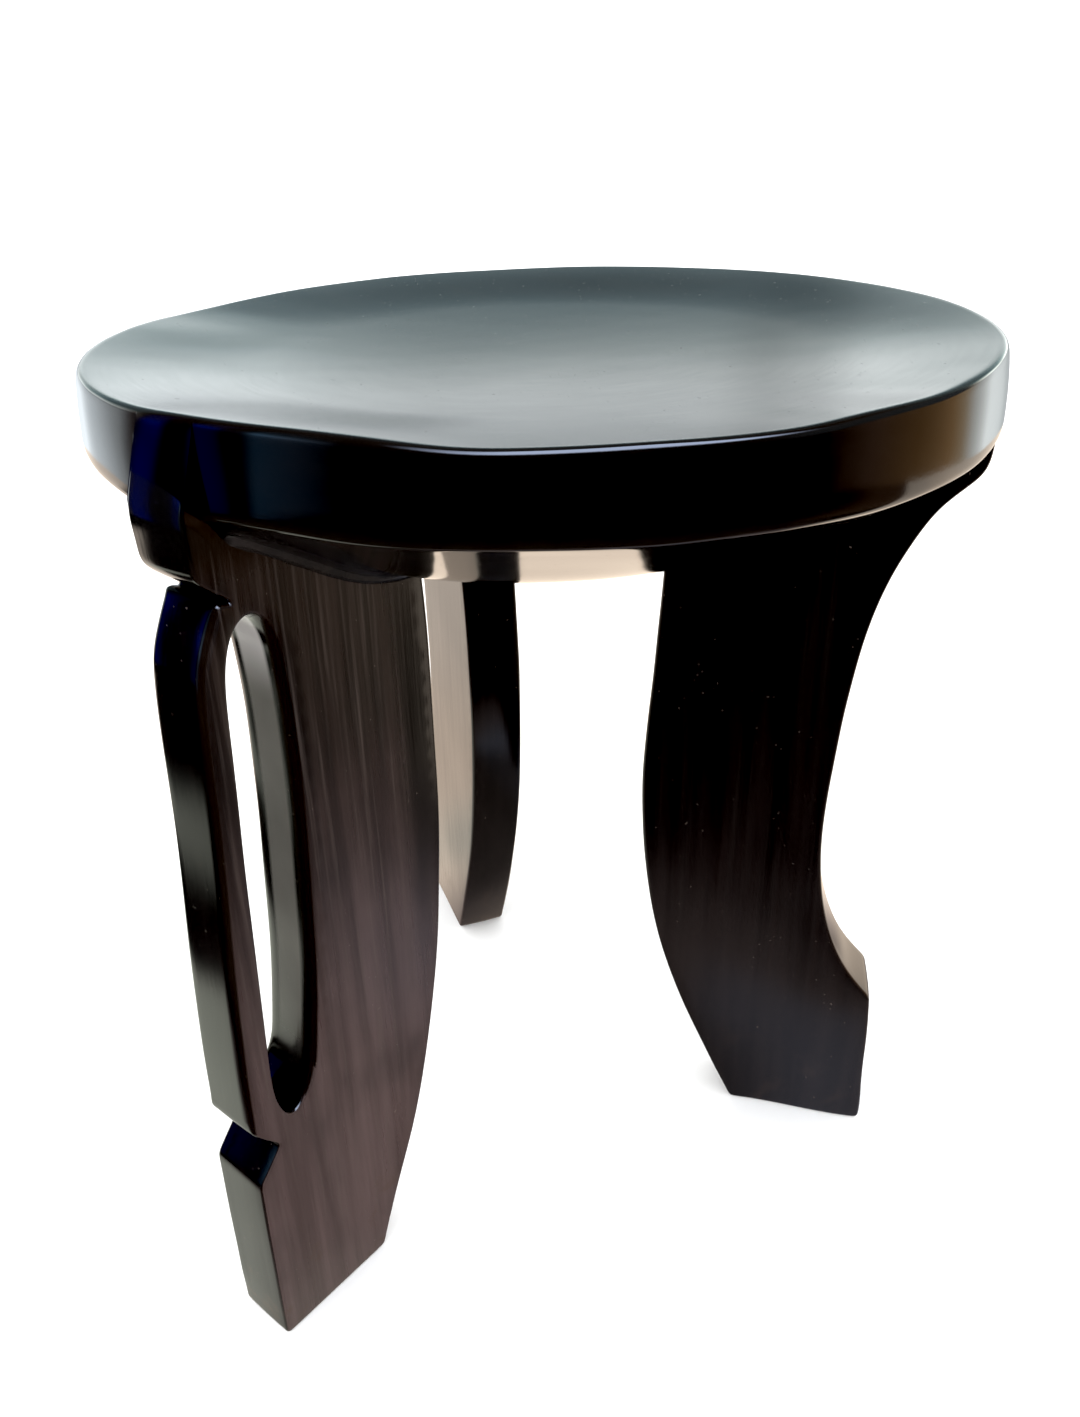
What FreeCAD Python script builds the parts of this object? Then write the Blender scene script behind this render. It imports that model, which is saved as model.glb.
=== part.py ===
import FreeCAD, Part
import math
import os

# Three-legged low stool: a round dished seat on three plank legs.
# Millimetres, +Z up.  The origin is the centre of the footprint box on the floor.
# The handle leg points along -Y, the right leg along +30 degrees and the rear
# leg along +150 degrees, all three in vertical planes through the seat's axis.

# ---------------------------------------------------------------- dimensions
SEAT_AXIS_Y = 10.0         # the seat's axis stands this far behind the origin
RIM_TOP_Z = 405.0          # mean height of the rim's crest above the floor
RIM_TOP_R = 180.0          # radius of the upper arris
RIM_LOW_R = 183.6          # radius of the lower arris, the wall flares slightly
RIM_LOW_Z = 376.5          # height of the lower arris
SEAT_TILT = 1.5            # the hand-cut seat is not quite level below, degrees
SEAT_TILT_DIR = 55.0       # its high side, degrees from +X
SEAT_TILT_Z = 375.0        # height of the point it leans about
TOP_TILT = 0.65            # the rim's crest and the dish lean less than the underside
TOP_TILT_DIR = 48.6
DISH_DEPTH = 14.0          # hollow of the sitting surface
BOWL_Z = 333.2             # lowest point of the convex underside
LEG_T = 29.6               # thickness of the three leg planks
ARRIS_R = 3.0              # eased long edges of the planks
REAR_SHIFT = 29.0          # the rear leg stands further out than the right leg
HANDLE_AZ, RIGHT_AZ, REAR_AZ = 270.0, 30.0, 150.0
GLUE = 0.1                 # glue line between a leg's head and the seat
TENON_T = 14.0             # tenon thickness across the plank
TENON_W = 32.0             # tenon width along the plank at its shoulder
TENON_SPREAD = 1.0         # each cheek leans out this much at the tenon's end
TENON_ROOT_Z = 343.5       # the outer tenons run down into the plank to this height
INNER_ROOT_Z = 326.0       # the inner ones stand under the deeper part of the bowl
TENON_TOP_Z = 379.0        # end of the tenons inside the seat
MORTISE_FLOOR_Z = 379.5
FIT = 0.1                  # side clearance of tenon in mortise
KERF_DEPTH = 18.0          # saw kerf that the wedge opens
KERF_BOTTOM = 0.8
KERF_TOP = 3.6
WEDGE_FIT = 0.04
HANDLE_TENONS = (152.0, 112.0)   # radii of the outer and inner tenon centres
REAR_TENONS = (152.0, 112.0)
RIGHT_TENONS = (152.0, 90.0)

V = FreeCAD.Vector
os.makedirs("parts", exist_ok=True)


def line(a, b):
    return Part.LineSegment(V(a[0], 0, a[1]), V(b[0], 0, b[1])).toShape()


def spline(points):
    curve = Part.BSplineCurve()
    curve.interpolate([V(r, 0, z) for r, z in points])
    return curve.toShape()


def wire(edges):
    return Part.Wire(edges)


def place(shape, azimuth):
    """Leg plane (radius, height) to the stool's frame."""
    out = shape.copy()
    out.rotate(V(0, 0, 0), V(0, 0, 1), azimuth)
    out.translate(V(0, SEAT_AXIS_Y, 0))
    return out


# ---------------------------------------------------------------------- seat
def seat_body(grow=0.0):
    """Turned blank of the seat about its own axis; grow fattens its outside."""
    top = RIM_TOP_Z + 15.0
    wall = [
        (RIM_TOP_R - 0.4 + grow, top),
        (RIM_TOP_R + 0.4 + grow, RIM_TOP_Z - 3.0),
        (RIM_TOP_R + 1.6 + grow, RIM_TOP_Z - 11.0),
        (RIM_TOP_R + 2.8 + grow, RIM_TOP_Z - 20.0),
        (RIM_LOW_R + grow, RIM_LOW_Z - grow),
    ]
    under = [
        (RIM_LOW_R + grow, RIM_LOW_Z - grow),
        (175.0, 371.2 - grow),
        (165.0, 365.2 - grow),
        (152.0, 357.4 - grow),
        (140.0, 350.2 - grow),
        (128.0, 343.7 - grow),
        (115.0, 338.6 - grow),
        (100.0, 335.6 - grow),
        (70.0, 333.8 - grow),
        (0.0, BOWL_Z - grow),
    ]
    outline = wire(
        [
            line((0.0, top), wall[0]),
            spline(wall),
            spline(under),
            line(under[-1], (0.0, top)),
        ]
    )
    return Part.Face(outline).revolve(V(0, 0, 0), V(0, 0, 1), 360)


def hollow():
    """What is cut away above the dish and the rounded crest of the rim."""
    rise = RIM_TOP_Z - DISH_DEPTH
    dish = [(0.0, rise)]
    for share in (0.2, 0.4, 0.6, 0.78, 0.92, 1.0):
        dish.append((174.5 * share, rise + (DISH_DEPTH - 0.4) * share ** 2.0))
    lip, edge = (177.4, RIM_TOP_Z - 0.02), (RIM_TOP_R + 0.4, RIM_TOP_Z - 3.0)
    crest = Part.Arc(V(dish[-1][0], 0, dish[-1][1]), V(lip[0], 0, lip[1]), V(edge[0], 0, edge[1])).toShape()
    out, high, axis = (RIM_TOP_R + 8.0, RIM_TOP_Z - 17.0), (RIM_TOP_R + 8.0, RIM_TOP_Z + 40.0), (0.0, RIM_TOP_Z + 40.0)
    outline = wire(
        [spline(dish), crest, line(edge, out), line(out, high), line(high, axis), line(axis, dish[0])]
    )
    d = math.radians(TOP_TILT_DIR)
    tool = Part.Face(outline).revolve(V(0, 0, 0), V(0, 0, 1), 360)
    tool.rotate(V(0, 0, SEAT_TILT_Z), V(math.sin(d), -math.cos(d), 0), TOP_TILT)
    return tool


def tilted(shape, azimuth=0.0):
    """Lean the seat about its own centre; azimuth is that of the frame in use."""
    d = math.radians(SEAT_TILT_DIR - azimuth)
    out = shape.copy()
    out.rotate(V(0, 0, SEAT_TILT_Z), V(math.sin(d), -math.cos(d), 0), SEAT_TILT)
    return out


# -------------------------------------------------------------------- joints
def trapezoid(centre, half_low, half_high, z_low, z_high, thickness):
    """A block across the plank whose two cheeks lean, centred on a radius."""
    corners = [
        V(centre - half_low, -thickness / 2, z_low),
        V(centre + half_low, -thickness / 2, z_low),
        V(centre + half_high, -thickness / 2, z_high),
        V(centre - half_high, -thickness / 2, z_high),
    ]
    return Part.Face(Part.makePolygon(corners + corners[:1])).extrude(V(0, thickness, 0))


def lean(z):
    """Half width of a tenon at height z: spread by its wedge towards the end."""
    base = TENON_ROOT_Z
    return TENON_W / 2 + TENON_SPREAD * (z - base) / (TENON_TOP_Z - base)


def tenon(centre):
    low = TENON_ROOT_Z if centre > 130.0 else INNER_ROOT_Z
    return trapezoid(centre, lean(low), lean(TENON_TOP_Z), low, TENON_TOP_Z, TENON_T)


def kerf(centre):
    over = 1.0
    slope = (KERF_TOP - KERF_BOTTOM) / KERF_DEPTH
    return trapezoid(
        centre,
        KERF_BOTTOM / 2,
        (KERF_TOP + slope * over) / 2,
        TENON_TOP_Z - KERF_DEPTH,
        TENON_TOP_Z + over,
        TENON_T + 2.0,
    )


def wedge(centre):
    low = TENON_TOP_Z - KERF_DEPTH + 1.5
    slope = (KERF_TOP - KERF_BOTTOM) / KERF_DEPTH
    half_low = (KERF_BOTTOM + slope * 1.5) / 2 - WEDGE_FIT
    return trapezoid(
        centre, half_low, KERF_TOP / 2 - WEDGE_FIT, low, TENON_TOP_Z, TENON_T - 0.2
    )


def mortise(centre):
    low = BOWL_Z - 12.0
    return trapezoid(
        centre,
        lean(low) + FIT,
        lean(MORTISE_FLOOR_Z) + FIT,
        low,
        MORTISE_FLOOR_Z,
        TENON_T + 2 * FIT,
    )


# ---------------------------------------------------------------------- legs
def plank(outer_wire, holes=()):
    face = Part.Face([outer_wire] + list(holes)) if holes else Part.Face(outer_wire)
    solid = face.extrude(V(0, LEG_T, 0))
    solid.translate(V(0, -LEG_T / 2, 0))
    return solid


def eased(solid, radius):
    """Ease the long edges on both flat faces, but not at the floor, the head or the notches."""
    done = solid
    spans, edges = [], []
    for e in solid.Edges:
        box = e.BoundBox
        flat = abs(box.YLength) < 1e-6 and abs(abs(box.YMin) - LEG_T / 2) < 1e-6
        if flat and box.ZMax > 1.0 and box.ZMin < 340.0:
            edges.append(e)
            if e.Length > 60.0:
                spans.append(e.CenterOfMass)
    try:
        trial = solid.makeFillet(radius, edges)
        if trial.isValid() and 0.9 * solid.Volume < trial.Volume < solid.Volume:
            return trial
    except Part.OCCError:
        pass
    # the two copies of each edge, front and back, are eased one at a time
    for centre in spans:
        twin = [e for e in done.Edges if (e.CenterOfMass - centre).Length < 0.5]
        if not twin:
            continue
        try:
            trial = done.makeFillet(radius, twin[:1])
        except Part.OCCError:
            continue
        if trial.isValid() and 0.97 * done.Volume < trial.Volume < done.Volume:
            done = trial
    return done


def plain_leg_outline(shift, head, inner_top):
    """Right and rear plank: toe, scooped outer edge, flared head, bowed inner edge."""
    s = shift
    foot_in, foot_out = (101.8 + s, 0.0), (170.2 + s, 0.0)
    toe = (167.0 + s, 83.0)
    front = spline([foot_out, (170.4 + s, 10.0), (169.5 + s, 30.0), (168.8 + s, 55.0), toe])
    scoop = [
        toe,
        (154.2 + s, 98.0),
        (144.4 + s, 117.5),
        (138.3 + s, 140.0),
        (135.3 + s, 164.0),
        (134.8 + s, 187.0),
        (136.2 + s, 212.0),
    ] + head
    inner = inner_top + [
        (52.0 + s, 248.0),
        (49.9 + s, 221.0),
        (49.0 + s, 200.0),
        (49.5 + s, 178.0),
        (52.3 + s, 147.0),
        (58.4 + s, 112.0),
        (68.4 + s, 78.0),
        (82.0 + s, 43.5),
        foot_in,
    ]
    top_out, top_in = (head[-1][0], 388.0), (inner[0][0], 388.0)
    return wire(
        [
            line(foot_in, foot_out),
            front,
            spline(scoop),
            line(head[-1], top_out),
            line(top_out, top_in),
            line(top_in, inner[0]),
            spline(inner),
        ]
    )


RIGHT_HEAD = [
    (138.4, 242.0),
    (141.6, 268.5),
    (145.4, 289.0),
    (150.2, 305.5),
    (157.5, 323.0),
    (167.0, 338.0),
    (176.5, 347.2),
    (181.6, 353.0),
    (183.6, 360.5),
    (184.0, 368.0),
]
RIGHT_INNER_TOP = [(57.8, 349.0), (56.3, 310.0), (54.4, 280.0)]
REAR_HEAD = [
    (166.6, 241.3),
    (169.8, 267.0),
    (173.2, 288.5),
    (176.4, 305.0),
    (180.0, 323.0),
    (182.6, 340.0),
    (183.7, 354.0),
    (184.0, 368.0),
]
REAR_INNER_TOP = [(92.0, 349.0), (89.4, 310.0), (85.2, 280.0)]


def handle_leg_outline():
    """Plank with a strap grip: outer edge with a vee notch above and below the strap."""
    foot_in, foot_out = (144.6, 0.0), (204.8, 0.0)
    foot_top = (204.2, 94.6)
    low_notch = (191.4, 109.2)
    strap_low = (202.9, 122.8)
    shoulder = (180.6, 345.2)
    high_notch = (174.4, 343.4)
    strap = spline(
        [
            strap_low,
            (202.6, 142.0),
            (201.3, 171.0),
            (199.6, 200.0),
            (197.4, 228.0),
            (195.5, 254.0),
            (194.4, 280.0),
            (193.4, 303.0),
            (192.3, 316.0),
            (190.5, 325.0),
            (188.0, 331.4),
            (184.7, 338.2),
            shoulder,
        ]
    )
    head = spline([high_notch, (179.6, 347.8), (184.8, 351.7), (188.0, 355.6), (188.8, 361.0), (188.8, 368.0)])
    lip_top, lip_in = (188.8, 382.0), (184.8, 387.0)
    top_out, top_in = (176.0, 388.0), (90.0, 388.0)
    inner = [
        (90.6, 349.0),
        (88.9, 322.0),
        (87.9, 298.0),
        (87.8, 262.0),
        (87.7, 236.0),
        (88.6, 209.0),
        (91.2, 179.0),
        (95.2, 148.0),
        (101.9, 117.0),
        (110.2, 86.0),
        (121.0, 55.0),
        (133.4, 26.5),
        foot_in,
    ]
    return wire(
        [
            line(foot_in, foot_out),
            spline([foot_out, (204.7, 36.0), foot_top]),
            line(foot_top, low_notch),
            line(low_notch, strap_low),
            strap,
            line(shoulder, high_notch),
            head,
            line((188.8, 368.0), lip_top),
            line(lip_top, lip_in),
            line(lip_in, top_out),
            line(top_out, top_in),
            line(top_in, inner[0]),
            spline(inner),
        ]
    )


def grip_slot():
    """Long curved opening between the strap and the body of the handle leg."""
    curve = Part.BSplineCurve()
    curve.interpolate(
        [
            V(r, 0, z)
            for r, z in (
                (169.0, 336.2),
                (174.4, 334.0),
                (178.4, 328.6),
                (181.0, 320.0),
                (182.3, 309.0),
                (183.1, 293.0),
                (184.1, 272.0),
                (185.4, 249.0),
                (186.4, 225.0),
                (187.3, 200.0),
                (188.3, 178.0),
                (189.2, 158.0),
                (189.6, 141.0),
                (188.0, 128.4),
                (182.8, 120.6),
                (176.4, 125.2),
                (168.8, 146.0),
                (164.4, 177.0),
                (162.0, 208.0),
                (160.0, 238.0),
                (158.8, 266.0),
                (158.6, 294.0),
                (159.8, 315.0),
                (163.0, 330.0),
            )
        ],
        PeriodicFlag=True,
    )
    return wire([curve.toShape()])


def build_leg(outline, holes, centres, seat_cut):
    blank = eased(plank(outline, holes), ARRIS_R)
    leg = blank.cut(seat_cut)
    solids = sorted(leg.Solids, key=lambda s: s.Volume)
    leg = solids[-1]
    for c in centres:
        leg = leg.fuse(tenon(c).common(tenon_zone))
    for c in centres:
        leg = leg.cut(kerf(c))
    return leg.removeSplitter().Solids[0]


# ------------------------------------------------------------------ assembly
blank_seat = seat_body()
seat_cut = seat_body(GLUE)
tenon_zone = Part.makeBox(400, 100, 60, V(0, -50, INNER_ROOT_Z))

legs = {
    "handle_leg": (HANDLE_AZ, HANDLE_TENONS, handle_leg_outline(), [grip_slot()]),
    "right_leg": (RIGHT_AZ, RIGHT_TENONS, plain_leg_outline(0.0, RIGHT_HEAD, RIGHT_INNER_TOP), []),
    "rear_leg": (REAR_AZ, REAR_TENONS, plain_leg_outline(REAR_SHIFT, REAR_HEAD, REAR_INNER_TOP), []),
}

# plain heads end flush with the rim wall
flush = Part.makeCylinder(RIM_LOW_R, 500, V(0, 0, 0), V(0, 0, 1))
head_zone = Part.makeBox(600, 200, 200, V(0, -100, 330.0))
proud = head_zone.cut(flush)

seat = tilted(blank_seat).cut(hollow())
seat = sorted(seat.Solids, key=lambda s: s.Volume)[-1]
seat.translate(V(0, SEAT_AXIS_Y, 0))
built = {}
for name, (azimuth, centres, outline, holes) in legs.items():
    leg = build_leg(outline, holes, centres, tilted(seat_cut, azimuth))
    if name != "handle_leg":
        leg = leg.cut(proud)
        leg = sorted(leg.Solids, key=lambda s: s.Volume)[-1]
    built[name] = place(leg, azimuth)
    for c in centres:
        seat = seat.cut(place(mortise(c), azimuth))
    for label, c in zip(("outer", "inner"), centres):
        built[name + "_" + label + "_wedge"] = place(wedge(c), azimuth)
built["seat"] = seat.Solids[0] if seat.Solids else seat

for name, shape in built.items():
    if not shape.isValid() or len(shape.Solids) != 1:
        raise RuntimeError("bad solid: " + name)
    box = shape.optimalBoundingBox()
    print(
        name,
        "volume", round(shape.Volume),
        "faces", len(shape.Faces),
        "box", [round(v, 1) for v in (box.XMin, box.YMin, box.ZMin, box.XMax, box.YMax, box.ZMax)],
    )
    shape.exportStep("parts/" + name + ".step")
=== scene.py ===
import math

import bmesh
import bpy
import numpy as np
from mathutils import Matrix, Vector
from mathutils.geometry import delaunay_2d_cdt


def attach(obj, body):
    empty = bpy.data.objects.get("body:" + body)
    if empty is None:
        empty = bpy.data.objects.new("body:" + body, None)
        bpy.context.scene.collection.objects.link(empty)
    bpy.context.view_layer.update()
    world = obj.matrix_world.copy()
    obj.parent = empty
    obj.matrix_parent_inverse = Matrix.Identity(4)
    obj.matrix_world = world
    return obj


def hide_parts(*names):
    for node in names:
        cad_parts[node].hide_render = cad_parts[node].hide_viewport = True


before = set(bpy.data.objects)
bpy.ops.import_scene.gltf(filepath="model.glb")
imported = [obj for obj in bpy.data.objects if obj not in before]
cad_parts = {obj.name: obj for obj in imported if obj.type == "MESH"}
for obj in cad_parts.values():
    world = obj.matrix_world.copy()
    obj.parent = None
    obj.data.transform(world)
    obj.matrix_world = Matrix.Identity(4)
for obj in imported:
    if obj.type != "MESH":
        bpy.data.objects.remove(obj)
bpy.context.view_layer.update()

# Three-legged stool of dark polished wood: a round dished seat on three plank legs.
# Shapes are worked out in millimetres about the seat's axis and placed in metres.
SEAT_AXIS_Y = 10.0
HANDLE_AZ, RIGHT_AZ, REAR_AZ = 270.0, 30.0, 150.0
LEG_T = 29.6
TILT, TILT_DIR, TILT_Z = math.radians(1.5), math.radians(55.0), 375.0
VIEW_TURN = 39.8            # the view's own directions are turned this far in the frame

# ------------------------------------------------------------------- curves


def spline(points, step=1.0):
    """Closely spaced points on a natural cubic through the given ones."""
    p = np.array(points, float)
    t = np.concatenate([[0.0], np.cumsum(np.linalg.norm(np.diff(p, axis=0), axis=1))])
    h = np.diff(t)
    n = len(p)
    a, b = np.zeros((n, n)), np.zeros((n, p.shape[1]))
    a[0, 0] = a[-1, -1] = 1.0
    for i in range(1, n - 1):
        a[i, i - 1 : i + 2] = h[i - 1], 2 * (h[i - 1] + h[i]), h[i]
        b[i] = 6 * ((p[i + 1] - p[i]) / h[i] - (p[i] - p[i - 1]) / h[i - 1])
    m = np.linalg.solve(a, b)
    u = np.linspace(0.0, t[-1], max(3, int(t[-1] / step) + 1))
    i = np.clip(np.searchsorted(t, u, side="right") - 1, 0, n - 2)
    d, e, g = (u - t[i])[:, None], (t[i + 1] - u)[:, None], h[i][:, None]
    return (
        (m[i] * e**3 + m[i + 1] * d**3) / (6 * g)
        + (p[i] / g - m[i] * g / 6) * e
        + (p[i + 1] / g - m[i + 1] * g / 6) * d
    )


def closed_spline(points, step=1.0):
    k = 5
    ring = list(points)
    long = spline(ring[-k:] + ring + ring[: k + 1], step)
    first, last = np.array(ring[0]), np.array(ring[0])
    d = np.linalg.norm(long - first, axis=1)
    half = len(long) // 2
    start = int(np.argmin(d[:half]))
    end = half + int(np.argmin(np.linalg.norm(long[half:] - last, axis=1)))
    return long[start:end]


def resample(points, values, step):
    """Evenly spaced closed loop, with values carried along."""
    p = np.vstack([points, points[:1]])
    v = np.vstack([values, values[:1]])
    gaps = np.linalg.norm(np.diff(p, axis=0), axis=1)
    keep = np.concatenate([[True], gaps > 1e-6])
    p, v = p[keep], v[keep]
    t = np.concatenate([[0.0], np.cumsum(np.linalg.norm(np.diff(p, axis=0), axis=1))])
    n = int(round(t[-1] / step))
    u = np.linspace(0.0, t[-1], n, endpoint=False)
    return (
        np.stack([np.interp(u, t, p[:, k]) for k in range(p.shape[1])], 1),
        np.stack([np.interp(u, t, v[:, k]) for k in range(v.shape[1])], 1),
    )


def relax(p, share, rounds):
    """Soften a closed loop; share says how much, point by point."""
    s = np.asarray(share).reshape(-1, 1)
    for _ in range(rounds):
        p = p + s * (0.5 * (np.roll(p, 1, 0) + np.roll(p, -1, 0)) - p)
    return p


def smooth01(x):
    x = np.clip(x, 0.0, 1.0)
    return x * x * (3 - 2 * x)


class Wander:
    """Slow, even unevenness of a hand-worked surface: a sum of sine waves."""

    def __init__(self, seed, waves, shortest, longest, stretch=(1, 1, 1)):
        g = np.random.default_rng(seed)
        k = g.normal(size=(waves, 3))
        k /= np.linalg.norm(k, axis=1)[:, None]
        length = np.exp(g.uniform(math.log(shortest), math.log(longest), waves))
        self.k = k * (2 * math.pi / length)[:, None] * np.array(stretch)
        self.phase = g.uniform(0, 2 * math.pi, waves)
        self.size = (length / longest) ** 0.6
        self.size /= math.sqrt(0.5 * np.sum(self.size**2))

    def __call__(self, p):
        return np.sin(p @ self.k.T + self.phase) @ self.size


def mesh_object(name, verts, faces, attributes, crease=None):
    """A smooth mesh; edges between vertices of the same crease number stay sharp."""
    mesh = bpy.data.meshes.new(name)
    mesh.from_pydata((np.asarray(verts) * 0.001).tolist(), [], faces)
    mesh.update()
    for label, values in attributes.items():
        layer = mesh.attributes.new(label, "FLOAT", "POINT")
        layer.data.foreach_set("value", np.asarray(values, np.float32))
    bm = bmesh.new()
    bm.from_mesh(mesh)
    bmesh.ops.recalc_face_normals(bm, faces=bm.faces)
    bm.to_mesh(mesh)
    bm.free()
    mesh.polygons.foreach_set("use_smooth", np.ones(len(mesh.polygons), bool))
    if crease is not None:
        ends = np.zeros(len(mesh.edges) * 2, np.int32)
        mesh.edges.foreach_get("vertices", ends)
        ends = np.asarray(crease)[ends.reshape(-1, 2)]
        sharp = mesh.attributes.new("sharp_edge", "BOOLEAN", "EDGE")
        sharp.data.foreach_set("value", (ends[:, 0] > 0) & (ends[:, 0] == ends[:, 1]))
    mesh.update()
    obj = bpy.data.objects.new(name, mesh)
    bpy.context.scene.collection.objects.link(obj)
    return obj


def push(obj, amount):
    """Move each vertex along its normal, millimetres."""
    n = len(obj.data.vertices)
    co, no = np.zeros(n * 3), np.zeros(n * 3)
    obj.data.vertices.foreach_get("co", co)
    obj.data.vertices.foreach_get("normal", no)
    co = co.reshape(-1, 3) + no.reshape(-1, 3) * (amount * 0.001)[:, None]
    co[:, 2] = np.maximum(co[:, 2], 0.0)
    obj.data.vertices.foreach_set("co", co.ravel())
    obj.data.update()


def coords(obj):
    co = np.zeros(len(obj.data.vertices) * 3)
    obj.data.vertices.foreach_get("co", co)
    return co.reshape(-1, 3) * 1000.0


# --------------------------------------------------------------------- seat
UNDER = [
    (183.3, 375.1), (175.0, 370.3), (165.0, 364.5), (152.0, 357.0), (140.0, 350.0),
    (128.0, 343.6), (115.0, 338.6), (100.0, 335.6), (70.0, 333.8), (0.0, 333.2),
]

# the hand-cut rim rises and falls a little: degrees in the view's directions, millimetres
TOP_WAVE = [
    (7, 1.5), (27, 1.7), (43, 2.0), (62, 2.0), (79, 1.9), (97, 1.6), (114, 1.7), (133, 1.3),
    (142, 0.6), (151, -0.1), (156, 0.1), (160, 0.3), (165, 0.9), (170, 1.4), (178, 1.5),
    (187, 1.45), (196, 1.4), (205, 1.4), (213, 1.5), (221, 1.8), (226, 2.2), (230, 3.0),
    (235, 3.2), (240, 3.3), (247, 3.3), (252, 2.6), (256, 1.7), (260, 0.3), (264, -0.4),
    (268, -0.3), (274, -0.2), (281, -0.1), (285, -0.5), (292, -0.8), (297, -0.9), (301, 0.0),
    (307, -0.1), (314, -0.6), (322, 0.0), (335, 0.7), (352, 1.0),
]
LOW_WAVE = [
    (10, 0.0), (60, 0.4), (110, -0.5), (160, 0.2), (180, 0.3), (188, 0.8), (196, 1.9), (205, 2.4),
    (213, 2.4), (220, 2.0), (226, 1.5), (232.9, 1.6), (234, 2.05), (235.6, 2.65), (237, 3.1),
    (239.7, 3.5), (241.9, 3.4), (244.3, 3.2), (246.3, 3.0), (249, 2.3), (251.5, 1.75), (255.3, 1.35),
    (258.8, 1.1), (264, 1.0), (270, 0.8), (277, -0.2), (280, -0.7), (284, -0.95), (288, -1.1),
    (292, -1.6), (296, -2.0), (300, -2.6), (304, -2.95), (308, -3.1), (315, -3.3), (322, -3.4),
    (330, -3.2), (340, -2.2), (350, -0.8),
]
# and its lower arris is cut in a little to the left of the handle leg
LOW_REACH = [(150, 0.0), (182, 0.0), (190, -0.5), (197, -1.0), (205, -1.4), (212, -1.2), (218, -0.5), (222, 0.0)]
CREST_RISE, CREST_DIR = 2.7, 200.0      # the crest leans back against the seat's own lean


def around(table, degrees, blur):
    """Periodic curve through (angle, value), smoothed by blur degrees."""
    table = sorted(table)
    grid = np.arange(0.0, 360.0, 0.5)
    v = np.interp(grid, [a for a, _ in table], [b for _, b in table], period=360.0)
    f = np.fft.rfft(v)
    k = np.arange(len(f))
    v = np.fft.irfft(f * np.exp(-0.5 * (k * math.radians(blur)) ** 2), len(v))
    return np.interp(np.mod(degrees, 360.0), grid, v, period=360.0)


def turned(degrees):
    """Row azimuth to the view's azimuth."""
    return np.asarray(degrees) - VIEW_TURN


def lean_seat(p):
    """The seat stands a little out of level; p is about the seat's own axis."""
    axis = Vector((math.sin(TILT_DIR), -math.cos(TILT_DIR), 0.0))
    r = np.array(Matrix.Rotation(TILT, 3, axis))
    c = np.array([0.0, 0.0, TILT_Z])
    return (p - c) @ r.T + c


HANDLE_FACE = 188.4        # radius of the rim where it runs down into the handle leg


def seat_profile():
    """Radius, height and zone of the turned section, finely spaced at the two arrises."""
    rho = np.linspace(0.0, 179.5, 700)
    dish = np.stack([rho, 391.0 + 12.0 * (rho / 178.6) ** 2.0], 1)
    top = dish[-1]
    wall = spline([tuple(top), (180.9, 396.0), (182.3, 386.0), UNDER[0]], 0.25)
    under = spline(UNDER, 0.25)
    p = np.vstack([dish, wall[1:], under[1:]])
    t = np.concatenate([[0.0], np.cumsum(np.linalg.norm(np.diff(p, axis=0), axis=1))])
    u = np.linspace(0.0, t[-1], int(t[-1] / 0.2))
    p = np.stack([np.interp(u, t, p[:, 0]), np.interp(u, t, p[:, 1])], 1)
    t_top, t_low = t[len(dish) - 1], t[len(dish) + len(wall) - 2]
    soft_top = np.clip(1.2 - np.abs(u - t_top) / 5.0, 0, 1)
    soft_low = np.clip(1.2 - np.abs(u - t_low) / 6.0, 0, 1)

    def eased(line, low):
        s = (0.5 * np.maximum(0.55 * soft_top, low * soft_low))[:, None]
        for _ in range(150):
            q = line.copy()
            q[1:-1] += s[1:-1] * (line[:-2] + line[2:] - 2 * line[1:-1])
            line = q
        return line

    crisp, p = eased(p, 0.22), eased(p, 1.0)
    # stations: coarse in the dish and below, fine at the arrises
    near = np.minimum(np.abs(u - t_top), np.abs(u - t_low))
    gap = np.clip(0.35 + 0.06 * near, 0.35, 4.0)
    wall_zone = (u > t_top) & (u < t_low)
    gap[wall_zone] = np.minimum(gap[wall_zone], 1.2)
    count = np.concatenate([[0.0], np.cumsum(np.diff(u) / gap[:-1])])
    n = int(count[-1])
    w = np.interp(np.linspace(0, count[-1], n), count, u)
    rho = np.interp(w, u, p[:, 0])
    z = np.interp(w, u, p[:, 1])
    drop = np.clip((w - t_top) / (t_low - t_top), 0.0, 1.0)    # 0 at the crest, 1 at the lower arris
    crisper = np.interp(w, u, crisp[:, 0] - p[:, 0]), np.interp(w, u, crisp[:, 1] - p[:, 1])
    return rho, z, drop, (w <= t_top), (w >= t_low), w - t_top, w - t_low, crisper


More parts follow.
